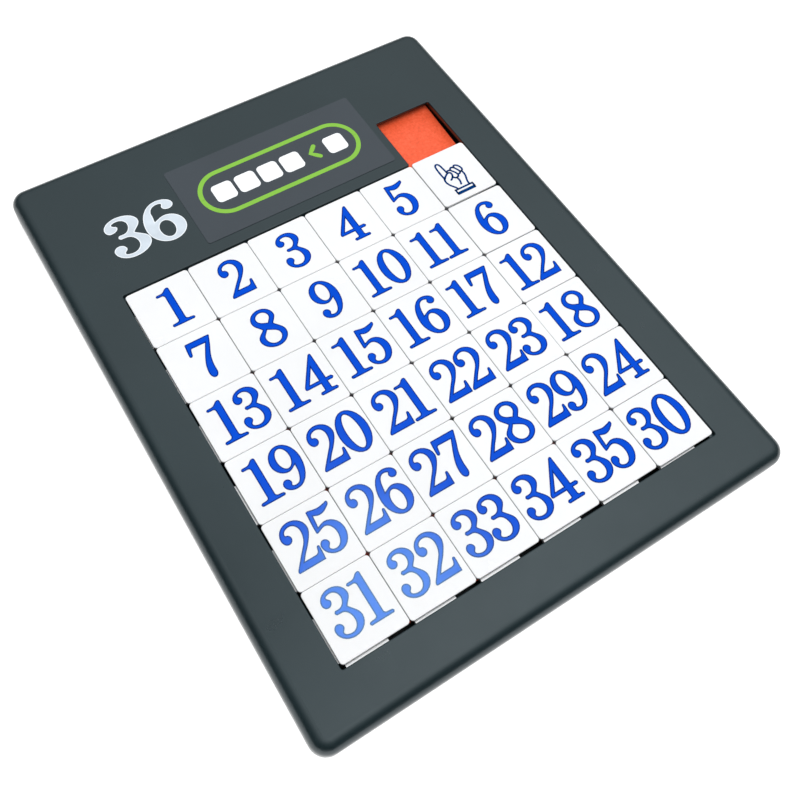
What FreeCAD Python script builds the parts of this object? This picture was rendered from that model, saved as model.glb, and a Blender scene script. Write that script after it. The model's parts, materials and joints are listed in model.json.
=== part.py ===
import FreeCAD, Part
import os

# A sliding tile puzzle: six rows and six columns of square tiles in a flat two-part case, with one
# parking pocket above the sixth column. The thirty-five numbered tiles and the tile with the pointing
# hand interlock with tongues and grooves. Millimetres. +X is to the right of the numbers, +Y runs from
# the bottom row towards the header, +Z is up out of the numbered faces, and the origin is the middle of
# the footprint at the level of the table.

# ---- driving dimensions --------------------------------------------------------------------------

PITCH = 18.0                # from one tile to the next, in both directions
ROWS = 6
COLUMNS = 6

RAIL = 13.55                # case beyond the window, left and right
LOWER_RAIL = 13.35          # case beyond the window, below
HEADER_DEPTH = 47.3         # case above the top row
CASE_HEIGHT = 8.2
CORNER_RADIUS = 4.4         # of the case, seen from above
EDGE_RADIUS = 3.3           # round the top edge of the case
FOOT_EDGE_RADIUS = 0.25     # round the bottom edge of the top frame
FRAME_FOOT = 0.6            # the top frame's wall stops this far above the table

TILE_SIZE = 17.94
TILE_TOP = 8.3              # faces stand a hair proud of the case
TILE_CORNER = 0.9
TILE_EDGE = 0.22
TILE_RIM = 0.55             # thickness of the face's edge, above the set-back body
TONGUE_REACH = 1.2
TONGUE_BOTTOM = 6.1
TONGUE_TOP = 7.2
TONGUE_START = 0.05         # tongues run over this part of a side, counted from the lower left corner
TONGUE_END = 0.66
TONGUE_CORNER = 0.4
GROOVE_DEPTH = 1.5
GROOVE_PLAY = 0.15          # above and below a tongue
TILE_STEP = 0.5             # below its face a tile's body is set back this far on the tongue sides
TILE_CORE_SIZE = 11.8       # the moulded recess under a tile
TILE_CORE_CORNER = 1.0
TILE_FACE_THICKNESS = 1.6
TILE_LIFT = 0.05            # running clearance over the floor

# How far the window and pocket reach past the ideal tile grid on each side.
WINDOW_LEFT = 0.4
WINDOW_RIGHT = 0.7
WINDOW_TOP = 0.5
WINDOW_BOTTOM = 0.75
POCKET_TOP = 0.5
OPENING_CORNER = 0.5
OPENING_EDGE = 0.3

TOP_SKIN = 2.0
OUTER_WALL = 2.2
INNER_WALL = 1.6
LIP_THICKNESS = 0.85        # the thin edge of the case that holds the tongues down
LIP_REACH = 2.6
POCKET_LIP_THICKNESS = 1.1  # the edge on the right of the pocket
POCKET_LIP_REACH = 1.6
RIB_REACH = 1.3             # the case's own tongue, on the two sides where the tiles have grooves
POST_RADIUS = 1.5
POST_SHOULDER = 2.8
STAKE_RADIUS = 2.3
STAKE_BOTTOM = 0.25
STAKE_TOP = 0.9

FLOOR_TOP = 4.0
LINING_THICKNESS = 0.6
LINING_PLAY = 0.1
LINING_INSET = 1.2          # the sheet stops this far inside the window on the left and below
LINING_SKEW = 0.9           # the sheet's free edge in the pocket is cut this much out of square
COVER_THICKNESS = 1.8
COVER_PLAY = 0.15
COVER_EDGE = 0.5
COVER_CORNER = 2.0
RIB_WIDTH = 1.2

LABEL_WIDTH = 60.8
LABEL_HEIGHT = 27.9
LABEL_LEFT = 26.8           # from the left edge of the tile grid
LABEL_LOW = 4.1             # above the top row
LABEL_THICKNESS = 0.12
LABEL_CORNER = 0.8

# The tiles have play. These are the small offsets that they rest at: sideways by row and by column,
# upwards by column, and upwards by row in the last column, which has room to spread.
ROW_SHIFT = [-0.12, -0.06, 0.0, 0.12, 0.0, -0.02]
COLUMN_SHIFT = [-0.06, -0.12, 0.0, -0.08, 0.0]
LAST_COLUMN_SHIFT = [0.42, -0.03, -0.18, -0.23, -0.25, -0.28]
COLUMN_SPREAD = [-0.05, 0.05, 0.11, 0.19, 0.24, 0.33]

# Reading order from the top row down. The last column stands one step down, clear of the pocket.
LAYOUT = [
    ["01", "02", "03", "04", "05", "hand"],
    ["07", "08", "09", "10", "11", "06"],
    ["13", "14", "15", "16", "17", "12"],
    ["19", "20", "21", "22", "23", "18"],
    ["25", "26", "27", "28", "29", "24"],
    ["31", "32", "33", "34", "35", "30"],
]

# ---- derived places ------------------------------------------------------------------------------

CASE_WIDTH = WINDOW_LEFT + COLUMNS * PITCH + WINDOW_RIGHT + 2 * RAIL
CASE_LENGTH = HEADER_DEPTH + ROWS * PITCH + WINDOW_BOTTOM + LOWER_RAIL
CASE_RIGHT = CASE_WIDTH / 2
CASE_TOP = CASE_LENGTH / 2
GRID_LEFT = -CASE_RIGHT + RAIL + WINDOW_LEFT
GRID_RIGHT = GRID_LEFT + COLUMNS * PITCH
GRID_TOP = CASE_TOP - HEADER_DEPTH
GRID_BOTTOM = GRID_TOP - ROWS * PITCH

WINDOW = (GRID_LEFT - WINDOW_LEFT, GRID_RIGHT + WINDOW_RIGHT, GRID_BOTTOM - WINDOW_BOTTOM, GRID_TOP + WINDOW_TOP)
POCKET = (GRID_RIGHT - PITCH, WINDOW[1], GRID_TOP, GRID_TOP + PITCH + POCKET_TOP)

LINING_BOTTOM = FLOOR_TOP - LINING_THICKNESS
TILE_BOTTOM = FLOOR_TOP + TILE_LIFT
LIP_UNDERSIDE = CASE_HEIGHT - LIP_THICKNESS


def box(x0, x1, y0, y1, z0, z1):
    """A block between three pairs of limits."""
    return Part.makeBox(x1 - x0, y1 - y0, z1 - z0, FreeCAD.Vector(x0, y0, z0))


def upright_edges(shape):
    """The straight edges that run along Z."""
    return [e for e in shape.Edges if len(e.Vertexes) == 2
            and abs(e.Vertexes[0].X - e.Vertexes[1].X) < 1e-6
            and abs(e.Vertexes[0].Y - e.Vertexes[1].Y) < 1e-6]


def level_edges(shape, z):
    """The edges that lie in the horizontal plane at height z."""
    return [e for e in shape.Edges if abs(e.BoundBox.ZMin - z) < 1e-6 and abs(e.BoundBox.ZMax - z) < 1e-6]


def rounded_block(x0, x1, y0, y1, z0, z1, corner):
    """A block with its four upright edges rounded."""
    block = box(x0, x1, y0, y1, z0, z1)
    return block.makeFillet(corner, upright_edges(block))


def post(x, y, radius, z0, z1):
    """An upright cylinder."""
    return Part.makeCylinder(radius, z1 - z0, FreeCAD.Vector(x, y, z0))


def grown(area, left, right, low, high):
    """A rectangle (x0, x1, y0, y1) with each side moved outwards."""
    x0, x1, y0, y1 = area
    return (x0 - left, x1 + right, y0 - low, y1 + high)


def stake_places():
    """Where the top frame's posts are staked into the back cover."""
    rail = CASE_RIGHT - OUTER_WALL - POST_SHOULDER - 1.2
    low = -CASE_TOP + OUTER_WALL + POST_SHOULDER + 1.2
    high = -low
    middle = (GRID_BOTTOM + GRID_TOP) / 2
    header = GRID_TOP + PITCH
    return [(-rail, low), (0.0, low), (rail, low),
            (-rail, middle), (rail, middle),
            (-rail, header), (0.0, header),
            (-rail, high), (0.0, high), (rail, high)]


# ---- the case ------------------------------------------------------------------------------------

def make_top_frame():
    """The dark moulding: rounded outside, open window and pocket, hollow under its rails."""
    frame = rounded_block(-CASE_RIGHT, CASE_RIGHT, -CASE_TOP, CASE_TOP, FRAME_FOOT, CASE_HEIGHT, CORNER_RADIUS)
    frame = frame.makeFillet(EDGE_RADIUS, level_edges(frame, CASE_HEIGHT))
    frame = frame.makeFillet(FOOT_EDGE_RADIUS, level_edges(frame, FRAME_FOOT))

    opening = box(*WINDOW, 0, CASE_HEIGHT + 1).fuse(box(*POCKET, 0, CASE_HEIGHT + 1)).removeSplitter()
    opening = opening.makeFillet(OPENING_CORNER, upright_edges(opening))
    frame = frame.cut(opening)
    inside = FreeCAD.BoundBox(WINDOW[0] - 1, WINDOW[2] - 1, 0, WINDOW[1] + 1, POCKET[3] + 1, CASE_HEIGHT + 1)
    rim = [e for e in level_edges(frame, CASE_HEIGHT) if inside.isInside(e.BoundBox)]
    frame = frame.makeFillet(OPENING_EDGE, rim)

    # room for the tongues, under a thin lip, on the sides that the tongues face
    tongue_side = box(*grown(WINDOW, LIP_REACH, 0, LIP_REACH, 0), 0, LIP_UNDERSIDE)
    tongue_side = tongue_side.fuse(box(*grown(POCKET, LIP_REACH, 0, 0, LIP_REACH), 0, LIP_UNDERSIDE))
    frame = frame.cut(tongue_side)
    beside_pocket = box(POCKET[1] - 1, POCKET[1] + POCKET_LIP_REACH, POCKET[2] - 1.2, POCKET[3] + LIP_REACH,
                        0, CASE_HEIGHT - POCKET_LIP_THICKNESS)
    frame = frame.cut(beside_pocket)

    # the hollow underside, between the outer wall and the wall round the opening
    hollow = rounded_block(-CASE_RIGHT + OUTER_WALL, CASE_RIGHT - OUTER_WALL, -CASE_TOP + OUTER_WALL,
                           CASE_TOP - OUTER_WALL, 0, CASE_HEIGHT - TOP_SKIN, COVER_CORNER)
    edge = LIP_REACH + INNER_WALL
    wall_round_window = box(*grown(WINDOW, edge, INNER_WALL, edge, INNER_WALL), 0, CASE_HEIGHT)
    wall_round_pocket = box(*grown(POCKET, edge, POCKET_LIP_REACH + INNER_WALL, 2 * INNER_WALL, edge), 0, CASE_HEIGHT)
    hollow = hollow.cut(wall_round_window).cut(wall_round_pocket)
    frame = frame.cut(hollow)
    frame = frame.cut(box(-CASE_RIGHT + OUTER_WALL, CASE_RIGHT - OUTER_WALL, -CASE_TOP + OUTER_WALL,
                          CASE_TOP - OUTER_WALL, 0, COVER_THICKNESS))

    # the case's own tongues
    right_rib = box(WINDOW[1] - RIB_REACH, WINDOW[1] + INNER_WALL / 2, WINDOW[2], POCKET[2] - 1.2,
                    TONGUE_BOTTOM, TONGUE_TOP)
    top_rib = box(WINDOW[0], POCKET[0] - LIP_REACH, WINDOW[3] - RIB_REACH, WINDOW[3] + INNER_WALL / 2,
                  TONGUE_BOTTOM, TONGUE_TOP)
    frame = frame.fuse([right_rib, top_rib])

    # posts with staked heads hold the back cover
    skin = CASE_HEIGHT - TOP_SKIN + 0.2
    posts = []
    for x, y in stake_places():
        posts.append(post(x, y, POST_SHOULDER, COVER_THICKNESS, skin))
        posts.append(post(x, y, POST_RADIUS, STAKE_TOP - 0.1, COVER_THICKNESS + 0.1))
        head = post(x, y, STAKE_RADIUS, STAKE_BOTTOM, STAKE_TOP)
        posts.append(head.makeFillet(0.3, level_edges(head, STAKE_BOTTOM)))
    return frame.fuse(posts).removeSplitter()


def lining_area(play):
    """The floor's outline as two overlapping rectangles, kept back from the case by play."""
    window = grown(WINDOW, -LINING_INSET, -play, -LINING_INSET, -play)
    pocket = grown(POCKET, LIP_REACH - play, -play, 0, LIP_REACH - play)
    return [window, pocket]


def make_back_cover():
    """The flat back, with ribs on its inner side that carry the floor."""
    inset = OUTER_WALL + COVER_PLAY
    cover = rounded_block(-CASE_RIGHT + inset, CASE_RIGHT - inset, -CASE_TOP + inset, CASE_TOP - inset,
                          0, COVER_THICKNESS, COVER_CORNER)
    cover = cover.makeFillet(COVER_EDGE, level_edges(cover, 0))

    window, pocket = lining_area(2 * LINING_PLAY)
    ribs = []
    for i in range(COLUMNS):
        x = GRID_LEFT + (i + 0.5) * PITCH
        top = pocket[3] if i == COLUMNS - 1 else window[3]
        ribs.append(box(x - RIB_WIDTH / 2, x + RIB_WIDTH / 2, window[2], top, COVER_THICKNESS - 0.1, LINING_BOTTOM))
    for i in range(ROWS):
        y = GRID_BOTTOM + (i + 0.5) * PITCH
        ribs.append(box(window[0], window[1], y - RIB_WIDTH / 2, y + RIB_WIDTH / 2,
                        COVER_THICKNESS - 0.1, LINING_BOTTOM))
    y = GRID_TOP + PITCH / 2
    ribs.append(box(pocket[0], pocket[1], y - RIB_WIDTH / 2, y + RIB_WIDTH / 2, COVER_THICKNESS - 0.1, LINING_BOTTOM))
    cover = cover.fuse(ribs)

    holes = []
    for x, y in stake_places():
        holes.append(post(x, y, POST_RADIUS, -1, COVER_THICKNESS + 1))
        holes.append(post(x, y, STAKE_RADIUS + 0.3, -1, STAKE_TOP))
    return cover.cut(holes).removeSplitter()


def make_floor_lining():
    """The orange sheet that the tiles slide on."""
    window, pocket = lining_area(LINING_PLAY)
    x0, x1, y0, y1 = pocket
    x1 += POCKET_LIP_REACH - LINING_PLAY
    corners = [(x0, y0 - 1), (x1 - LINING_SKEW, y0 - 1), (x1 - LINING_SKEW, y0), (x1, y1), (x0, y1)]
    outline = Part.makePolygon([FreeCAD.Vector(x, y, LINING_BOTTOM) for x, y in corners + corners[:1]])
    pocket_part = Part.Face(outline).extrude(FreeCAD.Vector(0, 0, LINING_THICKNESS))
    sheet = box(*window, LINING_BOTTOM, FLOOR_TOP).fuse(pocket_part)
    return sheet.removeSplitter()


def make_header_label():
    """The thin film label on the header."""
    x0 = GRID_LEFT + LABEL_LEFT
    y0 = GRID_TOP + LABEL_LOW
    return rounded_block(x0, x0 + LABEL_WIDTH, y0, y0 + LABEL_HEIGHT, CASE_HEIGHT, CASE_HEIGHT + LABEL_THICKNESS,
                         LABEL_CORNER)


# ---- the tiles -----------------------------------------------------------------------------------

def make_tile():
    """One tile about its own middle: tongues on its left and lower sides, grooves on the other two."""
    half = TILE_SIZE / 2
    tile = rounded_block(-half, half, -half, half, TILE_BOTTOM, TILE_TOP, TILE_CORNER)
    tile = tile.makeFillet(TILE_EDGE, level_edges(tile, TILE_TOP))

    z0 = TONGUE_BOTTOM - GROOVE_PLAY
    z1 = TONGUE_TOP + GROOVE_PLAY
    right_groove = box(half - GROOVE_DEPTH, half + 1, -half - 1, half + 1, z0, z1)
    top_groove = box(-half - 1, half + 1, half - GROOVE_DEPTH, half + 1, z0, z1)
    tile = tile.cut([right_groove, top_groove])

    start = -half + TONGUE_START * TILE_SIZE
    end = -half + TONGUE_END * TILE_SIZE
    root = -half + 1
    tip = -half - TONGUE_REACH
    rim_underside = TILE_TOP - TILE_RIM
    lower_step = box(-half - 1, half + 1, -half - 1, -half + TILE_STEP, TILE_BOTTOM - 1, rim_underside)
    left_step = box(-half - 1, -half + TILE_STEP, -half - 1, half + 1, TILE_BOTTOM - 1, rim_underside)
    tile = tile.cut([lower_step, left_step])
    left_tongue = rounded_block(tip, root, start, end, TONGUE_BOTTOM, TONGUE_TOP, TONGUE_CORNER)
    lower_tongue = rounded_block(start, end, tip, root, TONGUE_BOTTOM, TONGUE_TOP, TONGUE_CORNER)
    tile = tile.fuse([left_tongue, lower_tongue])

    middle = -GROOVE_DEPTH / 2
    reach = TILE_CORE_SIZE / 2
    core = rounded_block(middle - reach, middle + reach, middle - reach, middle + reach,
                         TILE_BOTTOM - 1, TILE_TOP - TILE_FACE_THICKNESS, TILE_CORE_CORNER)
    return tile.cut(core)


def tile_place(row, column):
    """Where the middle of a tile rests, with its share of play."""
    sideways = COLUMN_SPREAD[column]
    if column < COLUMNS - 1:
        sideways += ROW_SHIFT[row]
        upwards = COLUMN_SHIFT[column]
    else:
        upwards = LAST_COLUMN_SHIFT[row]
    x = GRID_LEFT + (column + 0.5) * PITCH + sideways
    y = GRID_TOP - (row + 0.5) * PITCH + upwards
    return FreeCAD.Vector(x, y, 0)


# ---- the pieces, one file each -------------------------------------------------------------------

os.makedirs("parts", exist_ok=True)

make_top_frame().exportStep("parts/top_frame.step")
make_back_cover().exportStep("parts/back_cover.step")
make_floor_lining().exportStep("parts/floor_lining.step")
make_header_label().exportStep("parts/header_label.step")

plain_tile = make_tile()
for row, names in enumerate(LAYOUT):
    for column, name in enumerate(names):
        tile = plain_tile.copy()
        tile.translate(tile_place(row, column))
        tile.exportStep("parts/tile_" + name + ".step")
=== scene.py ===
import json
import math

import bmesh
import bpy
from mathutils import Euler, Matrix, Vector

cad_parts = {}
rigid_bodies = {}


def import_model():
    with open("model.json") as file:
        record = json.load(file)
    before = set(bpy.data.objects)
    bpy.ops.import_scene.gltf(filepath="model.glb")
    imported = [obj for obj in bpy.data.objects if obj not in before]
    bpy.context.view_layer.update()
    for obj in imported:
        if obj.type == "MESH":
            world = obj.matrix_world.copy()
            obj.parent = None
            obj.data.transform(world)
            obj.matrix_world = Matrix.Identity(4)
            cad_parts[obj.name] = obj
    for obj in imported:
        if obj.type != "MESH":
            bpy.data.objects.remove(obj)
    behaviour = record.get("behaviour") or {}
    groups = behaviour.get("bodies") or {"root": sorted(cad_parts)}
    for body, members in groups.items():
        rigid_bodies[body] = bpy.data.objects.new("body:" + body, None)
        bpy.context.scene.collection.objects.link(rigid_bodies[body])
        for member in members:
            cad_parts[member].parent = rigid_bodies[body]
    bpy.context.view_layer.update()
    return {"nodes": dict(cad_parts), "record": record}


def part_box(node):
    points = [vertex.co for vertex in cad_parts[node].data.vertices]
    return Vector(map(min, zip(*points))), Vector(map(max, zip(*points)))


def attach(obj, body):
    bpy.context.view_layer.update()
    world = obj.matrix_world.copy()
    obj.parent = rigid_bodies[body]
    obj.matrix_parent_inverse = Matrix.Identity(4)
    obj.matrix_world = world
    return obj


# The looks of the sliding tile puzzle: printed numerals, the pointing hand, the header's number and
# label graphic, and the plastics. Metres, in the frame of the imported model.

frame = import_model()

MM = 0.001

# The tiles in reading order, as they stand.
LAYOUT = [
    ["01", "02", "03", "04", "05", "hand"],
    ["07", "08", "09", "10", "11", "06"],
    ["13", "14", "15", "16", "17", "12"],
    ["19", "20", "21", "22", "23", "18"],
    ["25", "26", "27", "28", "29", "24"],
    ["31", "32", "33", "34", "35", "30"],
]

# ---- sizes ---------------------------------------------------------------------------------------

TILE_FACE = 17.94 * MM          # a tile's face; its box is wider by a tongue on the left and below
NUMERAL_HEIGHT = 11.85 * MM
NUMERAL_SPREAD = 0.11 * MM      # how far the ink spreads past the drawn outline
NUMERAL_RIM = 0.30 * MM         # the denser edge of a printed digit
RIM_STEP = 0.006 * MM           # and how far the rest of the digit stands above it
NUMERAL_GAP = 0.03              # between two digits, as a share of their height
WELD = 0.001 * MM               # points closer than this become one
HAND_HEIGHT = 12.6 * MM
INK_DEPTH = 0.03 * MM           # how far print stands on a surface
INK_SINK = 0.01 * MM            # and how far it is let into it
HAND_LINE = 0.56 * MM           # how wide its lines are
HAND_SHIFT = Vector((-0.15, -1.05, 0)) * MM     # from where a numeral would stand

HEADER_NUMBER_HEIGHT = 14.2 * MM
HEADER_NUMBER_RELIEF = 0.10 * MM
HEADER_NUMBER_RIM = 0.22 * MM

# ---- digits --------------------------------------------------------------------------------------
# Outlines on a height of 1, drawn clockwise. A node is a corner (x, y), or a smooth point with the
# direction of the outline there: "h" level, "v" upright, or an angle in degrees.

DIGITS = {
    "0": (0.66, [
        [(0.33, 1, "h"), (0.66, 0.5, "v"), (0.33, 0, "h"), (0, 0.5, "v")],
        [(0.33, 0.925, "h"), (0.49, 0.5, "v"), (0.33, 0.075, "h"), (0.17, 0.5, "v")],
    ]),
    "1": (0.52, [
        [(0.305, 1, "h"), (0.335, 0.965, "v"), (0.335, 0.13, "v"), (0.41, 0.073, "h"), (0.50, 0.064),
         (0.52, 0.036, "v"), (0.50, 0.008), (0.02, 0.008), (0, 0.038, "v"), (0.02, 0.066),
         (0.105, 0.073, "h"), (0.18, 0.13, "v"), (0.18, 0.79, "v"), (0.12, 0.85, "h"), (0.02, 0.85),
         (0, 0.876, "v"), (0.02, 0.902), (0.12, 0.906, "h"), (0.235, 0.97, 45)],
    ]),
    "2": (0.595, [
        [(0.115, 0.597, "h"), (0.012, 0.74, "v"), (0.295, 1, "h"), (0.585, 0.735, "v"), (0.50, 0.53, 55),
         (0.335, 0.335, 45), (0.185, 0.155), (0.44, 0.155, "h"), (0.525, 0.205, 70), (0.55, 0.285),
         (0.573, 0.302, "h"), (0.595, 0.28, "v"), (0.578, 0.01), (0.015, 0.008), (0, 0.028, "v"),
         (0.02, 0.075), (0.33, 0.435, 48), (0.44, 0.73, "v"), (0.28, 0.917, "h"), (0.118, 0.805, "v"),
         (0.14, 0.770, "h"), (0.212, 0.685, "v")],
    ]),
    "3": (0.60, [
        [(0.12, 0.69, "h"), (0.03, 0.79, "v"), (0.30, 1, "h"), (0.573, 0.765, "v"), (0.435, 0.548),
         (0.598, 0.27, "v"), (0.29, 0, "h"), (0, 0.24, "v"), (0.09, 0.345, "h"), (0.182, 0.255, "v"),
         (0.125, 0.155, "v"), (0.275, 0.078, "h"), (0.445, 0.27, "v"), (0.29, 0.497, "h"), (0.195, 0.50),
         (0.168, 0.537, "v"), (0.195, 0.573), (0.26, 0.57, "h"), (0.425, 0.76, "v"), (0.27, 0.92, "h"),
         (0.155, 0.868, "v"), (0.213, 0.78, "v")],
    ]),
    "4": (0.665, [
        [(0.49, 1, "h"), (0.51, 0.975, "v"), (0.51, 0.335), (0.635, 0.335), (0.665, 0.297, "v"),
         (0.635, 0.26), (0.51, 0.26), (0.51, 0.11, "v"), (0.55, 0.070, "h"), (0.62, 0.066),
         (0.64, 0.035, "v"), (0.62, 0.005), (0.255, 0.005), (0.235, 0.035, "v"), (0.255, 0.066),
         (0.32, 0.070, "h"), (0.36, 0.11, "v"), (0.36, 0.26), (0.02, 0.26), (0, 0.285, "v"),
         (0.01, 0.33), (0.455, 0.985)],
        [(0.36, 0.335), (0.115, 0.335), (0.36, 0.715)],
    ]),
    "5": (0.59, [
        [(0.085, 0.985), (0.12, 0.992), (0.33, 0.957, "h"), (0.50, 0.985), (0.54, 1, "h"),
         (0.558, 0.975, "v"), (0.46, 0.872, 38), (0.30, 0.822, "h"), (0.165, 0.865), (0.137, 0.605),
         (0.31, 0.655, "h"), (0.588, 0.35, "v"), (0.28, 0, "h"), (0, 0.235, "v"), (0.09, 0.345, "h"),
         (0.178, 0.255, "v"), (0.125, 0.155, "v"), (0.25, 0.078, "h"), (0.425, 0.34, "v"),
         (0.265, 0.575, "h"), (0.105, 0.525), (0.08, 0.515, "h"), (0.06, 0.54, "v")],
    ]),
    "6": (0.635, [
        [(0.37, 1, "h"), (0.607, 0.845, "v"), (0.52, 0.755, "h"), (0.432, 0.835, "v"), (0.455, 0.885, "v"),
         (0.36, 0.925, "h"), (0.205, 0.765, 74), (0.165, 0.55), (0.37, 0.625, "h"), (0.635, 0.33, "v"),
         (0.33, 0, "h"), (0.005, 0.43, "v")],
        [(0.325, 0.55, "h"), (0.467, 0.32, "v"), (0.325, 0.073, "h"), (0.183, 0.32, "v")],
    ]),
    "7": (0.595, [
        [(0.045, 0.992), (0.585, 0.992), (0.595, 0.975), (0.46, 0.64, 64), (0.372, 0.36, 80),
         (0.357, 0.12, "v"), (0.272, 0, "h"), (0.188, 0.125, "v"), (0.235, 0.385, 70), (0.36, 0.66, 63),
         (0.455, 0.848), (0.125, 0.855), (0.098, 0.83), (0.065, 0.69), (0.035, 0.665, "h"),
         (0.005, 0.695, "v"), (0.033, 0.98)],
    ]),
    "8": (0.63, [
        [(0.32, 1, "h"), (0.587, 0.765, "v"), (0.462, 0.555), (0.632, 0.27, "v"), (0.32, 0, "h"),
         (0, 0.27, "v"), (0.188, 0.50), (0.045, 0.755, "v")],
        [(0.32, 0.922, "h"), (0.475, 0.775, "v"), (0.375, 0.605), (0.24, 0.665, -32), (0.16, 0.785, "v")],
        [(0.265, 0.472), (0.425, 0.385, -33), (0.505, 0.255, "v"), (0.32, 0.078, "h"), (0.13, 0.27, "v")],
    ]),
    "9": (0.615, [
        [(0.29, 1, "h"), (0.615, 0.56, "v"), (0.25, 0, "h"), (0.02, 0.165, "v"), (0.11, 0.262, "h"),
         (0.197, 0.17, "v"), (0.175, 0.115, "v"), (0.26, 0.075, "h"), (0.425, 0.27, 74), (0.45, 0.475),
         (0.265, 0.39, "h"), (0, 0.68, "v")],
        [(0.295, 0.932, "h"), (0.447, 0.70, "v"), (0.295, 0.453, "h"), (0.147, 0.69, "v")],
    ]),
}

# The header's number has its own, wider and bolder digits. Both are drawn on one height of 1.
HEADER_NUMBER = [
    [(0.115, 0.66, "h"), (0.02, 0.775, "v"), (0.34, 0.985, "h"), (0.70, 0.745, "v"), (0.52, 0.51),
     (0.738, 0.245, "v"), (0.33, -0.02, "h"), (-0.01, 0.225, "v"), (0.115, 0.335, "h"), (0.238, 0.225, "v"),
     (0.165, 0.125, "v"), (0.31, 0.072, "h"), (0.505, 0.26, "v"), (0.32, 0.462, "h"), (0.22, 0.465),
     (0.193, 0.51, "v"), (0.22, 0.555), (0.31, 0.552, "h"), (0.475, 0.75, "v"), (0.31, 0.895, "h"),
     (0.19, 0.85, "v"), (0.273, 0.755, "v")],
    [(1.17, 0.98, "h"), (1.462, 0.80, "v"), (1.34, 0.70, "h"), (1.222, 0.79, "v"), (1.25, 0.86, "v"),
     (1.16, 0.895, "h"), (0.975, 0.72, "v"), (0.955, 0.52), (1.18, 0.59, "h"), (1.492, 0.28, "v"),
     (1.13, -0.03, "h"), (0.728, 0.40, "v")],
    [(1.115, 0.478, "h"), (1.265, 0.28, "v"), (1.115, 0.072, "h"), (0.965, 0.28, "v")],
]

CIRCLE_HANDLE = 0.5523          # handle length of a quarter of a circle, as a share of its radius
SQUARE_TURN = 0.2               # a turn counts as a quarter if the cosine of its angle is below this
LARGEST_TURN = math.radians(100)


def heading(node, ahead):
    """The outline's direction at a node, or None at a corner."""
    if len(node) == 2:
        return None
    angle = math.radians({"h": 0, "v": 90}.get(node[2], node[2]))
    direction = Vector((math.cos(angle), math.sin(angle)))
    return direction if direction.dot(ahead) >= 0 else -direction


def reach(chord, here, there):
    """How long a handle is, for a stretch with that chord and those headings at its ends."""
    if there is not None and abs(here.dot(there)) < SQUARE_TURN:
        return CIRCLE_HANDLE * abs(chord.dot(here))
    turn = min(here.angle(chord), LARGEST_TURN)
    return chord.length / (3 * math.cos(turn / 2) ** 2)


def add_outline(curve, nodes, place, scale):
    """Adds one closed outline to a curve. scale is (x, y)."""
    count = len(nodes)
    points = [Vector(node[:2]) for node in nodes]
    headings = [heading(nodes[i], points[(i + 1) % count] - points[i - 1]) for i in range(count)]
    spline = curve.splines.new("BEZIER")
    spline.bezier_points.add(count - 1)
    spline.use_cyclic_u = True
    for i, bezier in enumerate(spline.bezier_points):
        before = points[i] - points[i - 1]
        after = points[(i + 1) % count] - points[i]
        here = headings[i]
        if here is None:
            left = points[i] - before / 3
            right = points[i] + after / 3
        else:
            left = points[i] - here * reach(before, here, headings[i - 1])
            right = points[i] + here * reach(after, here, headings[(i + 1) % count])
        bezier.handle_left_type = bezier.handle_right_type = "FREE"
        for name, point in (("co", points[i]), ("handle_left", left), ("handle_right", right)):
            setattr(bezier, name, (place[0] + point.x * scale[0], place[1] + point.y * scale[1], 0))


def linked(name, data):
    """An object in the scene, from its mesh, curve, lamp or camera."""
    made = bpy.data.objects.new(name, data)
    bpy.context.scene.collection.objects.link(made)
    return made


def solid_from(name, build):
    """An object whose mesh is filled in by build(bmesh)."""
    mesh = bpy.data.meshes.new(name)
    work = bmesh.new()
    build(work)
    bmesh.ops.recalc_face_normals(work, faces=work.faces)
    work.to_mesh(mesh)
    work.free()
    return linked(name, mesh)


def add_filled(work, outlines, height, spread_by, detail, material):
    """Adds a flat solid standing on z = 0 to a bmesh, from a list of (nodes, place, scale)."""
    curve = bpy.data.curves.new("outline", "CURVE")
    curve.dimensions = "2D"
    curve.fill_mode = "BOTH"
    curve.resolution_u = detail
    curve.extrude = height / 2
    curve.offset = spread_by
    for nodes, place, scale in outlines:
        add_outline(curve, nodes, place, scale)
    holder = linked("outline", curve)
    bpy.context.view_layer.update()
    mesh = bpy.data.meshes.new_from_object(holder.evaluated_get(bpy.context.evaluated_depsgraph_get()))
    bpy.data.objects.remove(holder)
    mesh.transform(Matrix.Translation((0, 0, height / 2)))
    for face in mesh.polygons:
        face.material_index = material
    work.from_mesh(mesh)
    bpy.data.meshes.remove(mesh)


def filled(name, outlines, height, spread_by, rim, detail=7):
    """A print with a denser rim: a base in the second material and, inset on it, a top in the first."""
    def build(work):
        add_filled(work, outlines, height - RIM_STEP, spread_by, detail, 1)
        add_filled(work, outlines, height, spread_by - rim, detail, 0)
        bmesh.ops.remove_doubles(work, verts=work.verts, dist=WELD)

    return solid_from(name, build)


def digits_outlines(text, height):
    """Outlines of a row of digits, centred on the origin."""
    widths = [DIGITS[c][0] for c in text]
    total = sum(widths) + NUMERAL_GAP * (len(text) - 1)
    x = -total / 2
    outlines = []
    for character, width in zip(text, widths):
        for nodes in DIGITS[character][1]:
            outlines.append((nodes, (x * height, -height / 2), (height, height)))
        x += width + NUMERAL_GAP
    return outlines


# ---- drawn lines ---------------------------------------------------------------------------------

LINE_STEPS = 8                  # points from one given point of a line to the next
CAP_STEPS = 6                   # edges round the end of a line


def smooth_line(points):
    """Points along a smooth line through a few given ones."""
    points = [Vector(p) for p in points]
    ends = [2 * points[0] - points[1]] + points + [2 * points[-1] - points[-2]]
    line = []
    for a, b, c, d in zip(ends, ends[1:], ends[2:], ends[3:]):
        for i in range(LINE_STEPS):
            t = i / LINE_STEPS
            line.append(0.5 * (2 * b + (c - a) * t + (2 * a - 5 * b + 4 * c - d) * t ** 2
                               + (3 * b - a - 3 * c + d) * t ** 3))
    return line + [points[-1]]


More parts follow.
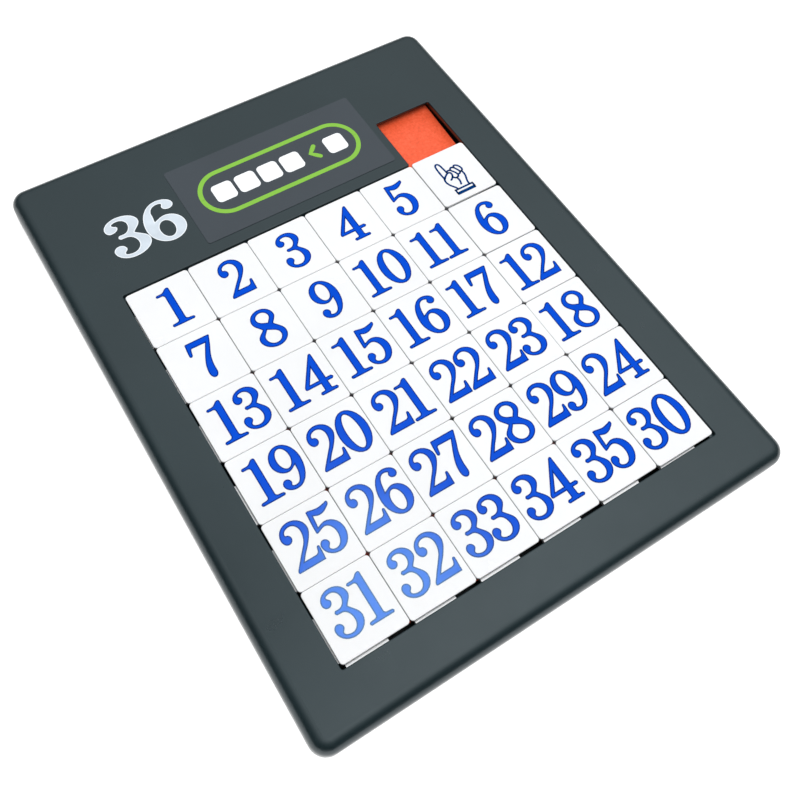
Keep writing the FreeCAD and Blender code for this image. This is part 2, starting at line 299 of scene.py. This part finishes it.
def stroke(work, line, width, high, closed=False):
    """Adds a band of even width along a line to a bmesh, from z = 0 up, with round ends or closed."""
    count = len(line)
    rails = []
    for i, point in enumerate(line):
        if closed:
            along = line[(i + 1) % count] - line[i - 1]
        else:
            along = line[min(i + 1, count - 1)] - line[max(i - 1, 0)]
        across = Vector((-along.y, along.x)).normalized() * width / 2
        rails.append((point + across, point - across))
    pairs = [tuple((work.verts.new((*p, high)), work.verts.new((*p, 0))) for p in rail) for rail in rails]
    steps = zip(pairs, pairs[1:] + pairs[:1]) if closed else zip(pairs, pairs[1:])
    for (left, right), (next_left, next_right) in steps:
        work.faces.new((left[0], right[0], next_right[0], next_left[0]))
        work.faces.new((left[1], next_left[1], next_right[1], right[1]))
        work.faces.new((left[0], next_left[0], next_left[1], left[1]))
        work.faces.new((right[0], right[1], next_right[1], next_right[0]))
    if closed:
        return
    for end, first, last in ((0, 1, 0), (-1, 0, 1)):
        arm = rails[end][first] - line[end]
        rim = [pairs[end][first]]
        for i in range(1, CAP_STEPS):
            angle = -math.pi * i / CAP_STEPS
            turned = Vector((arm.x * math.cos(angle) - arm.y * math.sin(angle),
                             arm.x * math.sin(angle) + arm.y * math.cos(angle)))
            place = line[end] + turned
            rim.append((work.verts.new((*place, high)), work.verts.new((*place, 0))))
        rim.append(pairs[end][last])
        work.faces.new([v[0] for v in rim])
        work.faces.new([v[1] for v in reversed(rim)])
        for a, b in zip(rim, rim[1:]):
            work.faces.new((a[0], a[1], b[1], b[0]))


def prism(work, outline, high):
    """Adds an upright solid on a plan outline to a bmesh, from z = 0 up."""
    bottom = [work.verts.new((p[0], p[1], 0)) for p in outline]
    top = [work.verts.new((p[0], p[1], high)) for p in outline]
    caps = [work.faces.new(top), work.faces.new(bottom[::-1])]
    for i in range(len(outline)):
        j = (i + 1) % len(outline)
        work.faces.new((bottom[i], bottom[j], top[j], top[i]))
    bmesh.ops.triangulate(work, faces=caps)


def rounded_outline(width, height, corner, centre=(0, 0), steps=6):
    """A rectangle with round corners, anticlockwise."""
    outline = []
    for quarter, (sx, sy) in enumerate(((1, 1), (-1, 1), (-1, -1), (1, -1))):
        cx = centre[0] + sx * (width / 2 - corner)
        cy = centre[1] + sy * (height / 2 - corner)
        for i in range(steps + 1):
            angle = math.pi / 2 * (quarter + i / steps)
            outline.append(Vector((cx + corner * math.cos(angle), cy + corner * math.sin(angle))))
    return outline


# ---- materials -----------------------------------------------------------------------------------

def new_material(name):
    """A material with its Principled shader, ready for nodes."""
    made = bpy.data.materials.new(name)
    made.use_nodes = True
    return made, made.node_tree, made.node_tree.nodes["Principled BSDF"]


def noise(tree, scale, detail=3.0, roughness=0.5):
    """A noise texture's value in object space. scale is in features per metre."""
    place = tree.nodes.new("ShaderNodeTexCoord").outputs["Object"]
    texture = tree.nodes.new("ShaderNodeTexNoise")
    texture.inputs["Scale"].default_value = scale
    texture.inputs["Detail"].default_value = detail
    texture.inputs["Roughness"].default_value = roughness
    tree.links.new(place, texture.inputs["Vector"])
    return texture.outputs["Fac"]


def ramp(tree, value, stops):
    """A colour ramp over a value. stops are (position, colour), in rising order."""
    made = tree.nodes.new("ShaderNodeValToRGB")
    elements = made.color_ramp.elements
    for i, (position, colour) in enumerate(stops):
        element = elements[i] if i < 2 else elements.new(position)
        element.position = position
        element.color = (*colour, 1)
    tree.links.new(value, made.inputs["Fac"])
    return made.outputs["Color"]


def spread(tree, value, low, high):
    """A value from 0.3..0.7, where noise mostly lies, spread over low..high."""
    made = tree.nodes.new("ShaderNodeMapRange")
    made.inputs["From Min"].default_value = 0.3
    made.inputs["From Max"].default_value = 0.7
    made.inputs["To Min"].default_value = low
    made.inputs["To Max"].default_value = high
    tree.links.new(value, made.inputs["Value"])
    return made.outputs["Result"]


def bump(tree, shader, *layers):
    """Chains bumps. Each layer is (value, strength, depth)."""
    normal = None
    for value, strength, depth in layers:
        made = tree.nodes.new("ShaderNodeBump")
        made.inputs["Strength"].default_value = strength
        made.inputs["Distance"].default_value = depth
        tree.links.new(value, made.inputs["Height"])
        if normal is not None:
            tree.links.new(normal, made.inputs["Normal"])
        normal = made.outputs["Normal"]
    tree.links.new(normal, shader.inputs["Normal"])


def tone(colour, share):
    """A colour made lighter or darker by a share."""
    return tuple(min(1.0, c * (1 + share)) for c in colour)


def plastic(name, colour, variation, roughness, grain, grain_depth, blotch=40, gloss=0.5,
            gloss_tint=(1, 1, 1), ripple=(60, 0.001 * MM)):
    """A moulded plastic: slight clouding, a fine moulded grain, soft ripples and uneven gloss.

    Grain, blotch and ripple are in features per metre, and a ripple also has a depth."""
    made, tree, shader = new_material(name)
    cloud = noise(tree, blotch, detail=4)
    fine = noise(tree, grain, roughness=0.6)
    shade = ramp(tree, cloud, [(0.3, tone(colour, -variation)), (0.7, tone(colour, variation))])
    tree.links.new(shade, shader.inputs["Base Color"])
    uneven = noise(tree, blotch * 3, detail=5, roughness=0.6)
    tree.links.new(spread(tree, uneven, *roughness), shader.inputs["Roughness"])
    shader.inputs["Specular IOR Level"].default_value = gloss
    shader.inputs["Specular Tint"].default_value = (*gloss_tint, 1)
    soft = noise(tree, ripple[0], roughness=0.6)
    bump(tree, shader, (fine, 0.5, grain_depth), (soft, 0.5, ripple[1]))
    return made


def case_plastic():
    """Dark slate plastic with a fine spark-eroded grain."""
    return plastic("case_plastic", (0.009, 0.018, 0.021), variation=0.08, roughness=(0.27, 0.33),
                   grain=3200, grain_depth=0.010 * MM, gloss=0.8, gloss_tint=(0.84, 0.95, 1.0),
                   ripple=(600, 0.03 * MM))


def back_plastic():
    """The same plastic, coarser and duller, for the back."""
    return plastic("back_plastic", (0.012, 0.025, 0.031), variation=0.08, roughness=(0.50, 0.62),
                   grain=2400, grain_depth=0.020 * MM)


def tile_plastic():
    """White plastic with a soft gloss that lets a little light through."""
    made = plastic("tile_plastic", (0.70, 0.71, 0.72), variation=0.02, roughness=(0.20, 0.28),
                   grain=1500, grain_depth=0.002 * MM)
    shader = made.node_tree.nodes["Principled BSDF"]
    shader.inputs["Subsurface Weight"].default_value = 0.5
    shader.inputs["Subsurface Radius"].default_value = (1.0, 0.95, 0.9)
    shader.inputs["Subsurface Scale"].default_value = 0.5 * MM
    return made


def floor_plastic():
    """Orange sheet with a fine mottle."""
    made, tree, shader = new_material("floor_plastic")
    colour = (0.80, 0.100, 0.036)
    mottle = noise(tree, 1400, detail=4, roughness=0.65)
    shade = ramp(tree, mottle, [(0.32, tone(colour, -0.14)), (0.5, colour), (0.68, (0.84, 0.135, 0.060))])
    tree.links.new(shade, shader.inputs["Base Color"])
    shader.inputs["Roughness"].default_value = 0.55
    bump(tree, shader, (mottle, 0.4, 0.03 * MM))
    return made


def label_film():
    """Blue-grey film with a satin print."""
    return plastic("label_film", (0.030, 0.039, 0.048), variation=0.05, roughness=(0.34, 0.42),
                   grain=2600, grain_depth=0.006 * MM, gloss=0.65, gloss_tint=(0.92, 0.96, 1.0))


def ink(name, colour, variation=0.05, roughness=(0.16, 0.20), gloss=0.03):
    """Screen-printed ink, very slightly uneven."""
    return plastic(name, colour, variation, roughness, grain=1800, grain_depth=0.002 * MM, blotch=180,
                   gloss=gloss)


def matt_ink(name, colour, variation=0.02):
    """The duller ink of the header and its label."""
    return ink(name, colour, variation, roughness=(0.35, 0.45), gloss=0.25)


MATERIALS = {
    "case_plastic": case_plastic(),
    "back_plastic": back_plastic(),
    "floor_plastic": floor_plastic(),
    "label_film": label_film(),
    "tile_plastic": tile_plastic(),
    "numeral_ink": ink("numeral_ink", (0.0008, 0.056, 0.50)),
    "numeral_rim": ink("numeral_rim", (0.0005, 0.023, 0.20)),
    "line_ink": ink("line_ink", (0.0005, 0.028, 0.13)),
    "header_ink": matt_ink("header_ink", (0.50, 0.56, 0.62), 0.10),
    "header_rim": matt_ink("header_rim", (0.72, 0.76, 0.80)),
    "white_ink": matt_ink("white_ink", (0.76, 0.78, 0.80)),
    "green_ink": matt_ink("green_ink", (0.19, 0.42, 0.050), 0.04),
}


def dress(piece, slot, *looks):
    """Gives a piece the finish of a slot: the slot's own material, or others named in its place."""
    for look in looks or (slot,):
        piece.data.materials.append(MATERIALS[look])


def dress_frame():
    """Gives every CAD node its procedural material."""
    for entry in frame["record"]["subparts"]:
        node = frame["nodes"][entry["node"]]
        node.data.materials.clear()
        node.data.materials.append(MATERIALS[entry["material_slot"]])


# ---- print on the tiles --------------------------------------------------------------------------

def face_centre(node):
    """The middle of a tile's face."""
    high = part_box(node)[1]
    return Vector((high.x - TILE_FACE / 2, high.y - TILE_FACE / 2, high.z))


# The screen that printed the tiles had a slightly smaller pitch than the tiles and lay a little askew.
# A print's distance from the middle of its tile, in mm: on the first tile, and what is added for each
# column, for each row, and for each row times each column.
PRINT_RIGHT = (1.15, -0.27, -0.145, 0.016)
PRINT_UP = (0.21, -0.01, 0.11, -0.01)


def print_shift(row, column):
    """Where the print on a tile stands, from the middle of its face."""
    steps = (1, column, row, row * column)
    right = sum(share * step for share, step in zip(PRINT_RIGHT, steps))
    up = sum(share * step for share, step in zip(PRINT_UP, steps))
    return Vector((right * MM, up * MM, -INK_SINK))


def make_numeral(name, place):
    """The number of a tile."""
    text = str(int(name))
    piece = filled("numeral_" + name, digits_outlines(text, NUMERAL_HEIGHT), INK_DEPTH + INK_SINK,
                   NUMERAL_SPREAD, NUMERAL_RIM)
    piece.location = place
    dress(piece, "numeral_ink", "numeral_ink", "numeral_rim")
    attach(piece, "tile_" + name)


# The hand's lines on a height of 1, with x from the left edge of the finger.
HAND_LINES = [
    [(0.19, 0.68), (0.185, 0.76), (0.172, 0.88), (0.155, 0.955), (0.105, 0.99), (0.06, 0.955),
     (0.042, 0.87), (0.035, 0.70), (0.04, 0.57), (0.02, 0.50), (0.018, 0.43), (0.045, 0.345),
     (0.10, 0.26), (0.135, 0.205), (0.15, 0.16)],
    [(0.045, 0.54), (0.10, 0.595), (0.165, 0.64), (0.215, 0.655), (0.262, 0.63), (0.268, 0.575),
     (0.24, 0.515), (0.20, 0.475), (0.16, 0.45)],
    [(0.19, 0.68), (0.225, 0.705), (0.265, 0.712), (0.30, 0.702), (0.325, 0.735), (0.365, 0.755),
     (0.41, 0.735), (0.45, 0.772), (0.50, 0.762), (0.545, 0.71), (0.568, 0.63), (0.55, 0.575),
     (0.50, 0.555)],
    [(0.30, 0.70), (0.335, 0.645), (0.37, 0.59), (0.39, 0.53)],
    [(0.412, 0.735), (0.44, 0.68), (0.468, 0.62), (0.48, 0.57)],
    [(0.24, 0.515), (0.275, 0.465), (0.325, 0.45), (0.375, 0.475), (0.395, 0.515), (0.445, 0.52),
     (0.485, 0.56)],
    [(0.315, 0.45), (0.326, 0.38), (0.318, 0.31), (0.295, 0.25)],
    [(0.525, 0.555), (0.532, 0.46), (0.512, 0.37), (0.48, 0.29), (0.465, 0.22), (0.463, 0.16)],
    [(0.07, 0.155), (0.20, 0.155), (0.41, 0.155), (0.54, 0.155)],
    [(0.075, 0.15), (0.075, 0.10), (0.075, 0.05)],
    [(0.537, 0.15), (0.537, 0.10), (0.537, 0.05)],
]
HAND_WIDTH = 0.58
CUFF_BOX = (0.057, 0.555, 0.008, 0.085)     # the filled part of the cuff: x0, x1, y0, y1
CUFF_CORNER = 0.12 * MM


def make_hand(place):
    """The pointing hand on the last tile: drawn lines and a filled cuff."""
    def build(work):
        top = INK_DEPTH + INK_SINK
        for points in HAND_LINES:
            scaled = [((x - HAND_WIDTH / 2) * HAND_HEIGHT, (y - 0.5) * HAND_HEIGHT) for x, y in points]
            stroke(work, smooth_line(scaled), HAND_LINE, top)
        x0, x1, y0, y1 = [v * HAND_HEIGHT for v in CUFF_BOX]
        centre = ((x0 + x1 - HAND_WIDTH * HAND_HEIGHT) / 2, (y0 + y1 - HAND_HEIGHT) / 2)
        prism(work, rounded_outline(x1 - x0, y1 - y0, CUFF_CORNER, centre), top)

    piece = solid_from("hand_print", build)
    piece.location = place
    dress(piece, "line_ink")
    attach(piece, "tile_hand")


def print_tiles():
    """Numbers and the hand, each on its own tile."""
    for row, names in enumerate(LAYOUT):
        for column, name in enumerate(names):
            place = face_centre("tile_" + name) + print_shift(row, column)
            if name == "hand":
                make_hand(place + HAND_SHIFT)
            else:
                make_numeral(name, place)


# ---- print on the header -------------------------------------------------------------------------

# The header number's lower left corner, in tile pitches from the tile grid's top left corner.
HEADER_NUMBER_PLACE = (0.220, 0.585)


def grid_corner():
    """The top left corner of the tile grid, at the level of the case's top, and the tile pitch."""
    first = face_centre("tile_01")
    pitch = (first.y - face_centre("tile_31").y) / (len(LAYOUT) - 1)
    return Vector((first.x - pitch / 2, first.y + pitch / 2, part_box("top_frame")[1].z)), pitch


def make_header_number():
    """The number of cells, printed on the header."""
    corner, pitch = grid_corner()
    height = HEADER_NUMBER_HEIGHT
    outlines = [(nodes, (0, 0), (height, height)) for nodes in HEADER_NUMBER]
    piece = filled("header_number", outlines, HEADER_NUMBER_RELIEF + INK_SINK, 0.0, HEADER_NUMBER_RIM,
                   detail=12)
    x, y = HEADER_NUMBER_PLACE
    piece.location = corner + Vector((x * pitch, y * pitch, -INK_SINK))
    dress(piece, "white_ink", "header_ink", "header_rim")
    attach(piece, "case")


# The label shows a tile about to slide into a gap in a row of tiles.
LABEL_LINE = 1.35 * MM
LABEL_TRACK = (50.0 * MM, 14.6 * MM)
LABEL_TILE = 6.3 * MM
LABEL_TILE_CORNER = 1.3 * MM
LABEL_TILE_PITCH = 7.3 * MM
LABEL_TILE_CELLS = (-2.5, -1.5, -0.5, 0.5, 2.5)
LABEL_ARROW_CELL = 1.5
LABEL_ARROW_SIZE = 2.1 * MM


def label_piece(name, slot, build):
    """A printed piece on the label, drawn about the label's middle."""
    low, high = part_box("header_label")
    piece = solid_from(name, build)
    piece.location = ((low.x + high.x) / 2, (low.y + high.y) / 2, high.z - INK_SINK)
    dress(piece, slot)
    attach(piece, "case")


def make_label():
    """The print on the label: little white tiles in a green track, and a green arrow in the gap."""
    top = INK_DEPTH + INK_SINK

    def tiles(work):
        for cell in LABEL_TILE_CELLS:
            centre = (cell * LABEL_TILE_PITCH, 0)
            prism(work, rounded_outline(LABEL_TILE, LABEL_TILE, LABEL_TILE_CORNER, centre), top)

    def track(work):
        width, height = LABEL_TRACK
        stroke(work, rounded_outline(width, height, height / 2, steps=16), LABEL_LINE, top, closed=True)

    def arrow(work):
        size = LABEL_ARROW_SIZE
        tip = Vector((LABEL_ARROW_CELL * LABEL_TILE_PITCH - size / 2, 0))
        line = [tip + Vector((size, size)), tip + Vector((size / 2, size / 2)), tip,
                tip + Vector((size / 2, -size / 2)), tip + Vector((size, -size))]
        stroke(work, line, LABEL_LINE, top)

    label_piece("label_tiles", "white_ink", tiles)
    label_piece("label_track", "green_ink", track)
    label_piece("label_arrow", "green_ink", arrow)


# ---- the studio ----------------------------------------------------------------------------------

CAMERA_PLACE = (-0.07626, -0.08828, 0.1925)
CAMERA_TURN = (26.18, -2.31, -31.34)        # degrees about X, Y and Z
CAMERA_LENS = 37.26                         # mm
CAMERA_SENSOR = 36                          # mm wide
CAMERA_SHIFT = (0.0859, -0.0032)

FLOOR_SIZE = 4.0

# Each lamp's place, what it looks at, its size in metres and its power in watts.
KEY_LAMP = ((0.46, 0.52, 2.15), (0, 0, 0), 0.8, 51)
FLAT_LAMP = ((-0.6, -0.7, 1.5), (0, 0, 0), 1.0, 34)
GLINT_LAMP = ((0.077, 0.0065, 0.608), (-0.040, -0.066, 0), 0.18, 11)
GLINT_COLOUR = (0.55, 1.0, 0.9)


def make_camera():
    """The camera over the lower left corner of the puzzle."""
    data = bpy.data.cameras.new("camera")
    data.sensor_width = CAMERA_SENSOR
    data.lens = CAMERA_LENS
    data.shift_x, data.shift_y = CAMERA_SHIFT
    data.clip_start = 0.01
    camera = linked("camera", data)
    camera.location = CAMERA_PLACE
    camera.rotation_euler = Euler([math.radians(a) for a in CAMERA_TURN])
    bpy.context.scene.camera = camera


def make_floor():
    """A plain pale table."""
    made, tree, shader = new_material("table")
    shade = ramp(tree, noise(tree, 6), [(0.3, (0.96, 0.96, 0.96)), (0.7, (0.98, 0.98, 0.98))])
    tree.links.new(shade, shader.inputs["Base Color"])
    shader.inputs["Roughness"].default_value = 0.7

    def build(work):
        bmesh.ops.create_grid(work, x_segments=8, y_segments=8, size=FLOOR_SIZE / 2)

    floor = solid_from("table", build)
    floor.data.materials.append(made)


def make_area_light(name, place, target, size, power, colour=(1, 1, 1)):
    """A square soft box that looks at a point."""
    data = bpy.data.lights.new(name, "AREA")
    data.size = size
    data.energy = power
    data.color = colour
    lamp = linked(name, data)
    lamp.location = place
    lamp.rotation_euler = (Vector(target) - Vector(place)).to_track_quat("-Z", "Y").to_euler()
    return lamp


def shine_on(lamp, pieces, state="INCLUDE"):
    """Lets a lamp shine on some pieces only, or on all but those."""
    linked_pieces = bpy.data.collections.new(lamp.name + "_pieces")
    for piece in pieces:
        linked_pieces.objects.link(piece)
    for entry in linked_pieces.collection_objects:
        entry.light_linking.link_state = state
    lamp.light_linking.receiver_collection = linked_pieces


def make_lamps():
    """A soft box behind the header for the puzzle, one for what lies flat, and a glint on the numerals."""
    flat = [bpy.data.objects["table"], frame["nodes"]["floor_lining"]]
    key = make_area_light("key", *KEY_LAMP)
    key.visible_glossy = False
    shine_on(key, flat, "EXCLUDE")
    flat_lamp = make_area_light("flat_lamp", *FLAT_LAMP)
    flat_lamp.visible_glossy = False
    shine_on(flat_lamp, flat)
    glint = make_area_light("glint", *GLINT_LAMP, GLINT_COLOUR)
    glint.visible_diffuse = False
    shine_on(glint, [piece for piece in bpy.data.objects if piece.name.startswith("numeral_")])


# The room is a dim sphere: a soft ceiling, a bright panel in it, and a dark shape in front of both.
# Each is an axis, its shades by the cosine of the angle to that axis, and its strength.
ROOM_CEILING = (
    (0.20, 0.24, 0.95), [(0.0, 0.03), (0.34, 0.06), (0.60, 0.45), (0.76, 1.0), (1.0, 1.0)], 0.555,
)
ROOM_PANEL = (
    (0.23, 0.03, 0.97), [(0.70, 0.0), (0.82, 0.12), (0.94, 0.55), (0.985, 0.90), (1.0, 1.0)], 1.12,
)
ROOM_SHAPE = (
    (0.05, 0.23, 0.97), [(0.970, 1.0), (0.985, 0.82), (0.992, 0.45), (0.998, 0.10), (1.0, 0.0)], 1.0,
)


def room_shade(tree, place, axis, shades, strength):
    """One of the room's parts, as a value."""
    along = tree.nodes.new("ShaderNodeVectorMath")
    along.operation = "DOT_PRODUCT"
    along.inputs[1].default_value = Vector(axis).normalized()
    tree.links.new(place, along.inputs[0])
    return ramp(tree, along.outputs["Value"], [(p, (v * strength,) * 3) for p, v in shades])


def combined(tree, operation, first, second):
    """Two values combined into one."""
    made = tree.nodes.new("ShaderNodeVectorMath")
    made.operation = operation
    tree.links.new(first, made.inputs[0])
    tree.links.new(second, made.inputs[1])
    return made.outputs["Vector"]


def make_world():
    """The room."""
    world = bpy.data.worlds.new("room")
    world.use_nodes = True
    tree = world.node_tree
    place = tree.nodes.new("ShaderNodeTexCoord").outputs["Generated"]
    parts = (ROOM_CEILING, ROOM_PANEL, ROOM_SHAPE)
    ceiling, panel, shape = [room_shade(tree, place, *part) for part in parts]
    light = combined(tree, "MULTIPLY", combined(tree, "ADD", ceiling, panel), shape)
    tree.links.new(light, tree.nodes["Background"].inputs["Color"])
    bpy.context.scene.world = world


def make_studio():
    """Camera, table, room and lamps."""
    scene = bpy.context.scene
    scene.view_settings.view_transform = "Standard"
    make_camera()
    make_floor()
    make_world()
    make_lamps()


# ---- all together --------------------------------------------------------------------------------

dress_frame()
print_tiles()
make_header_number()
make_label()
make_studio()
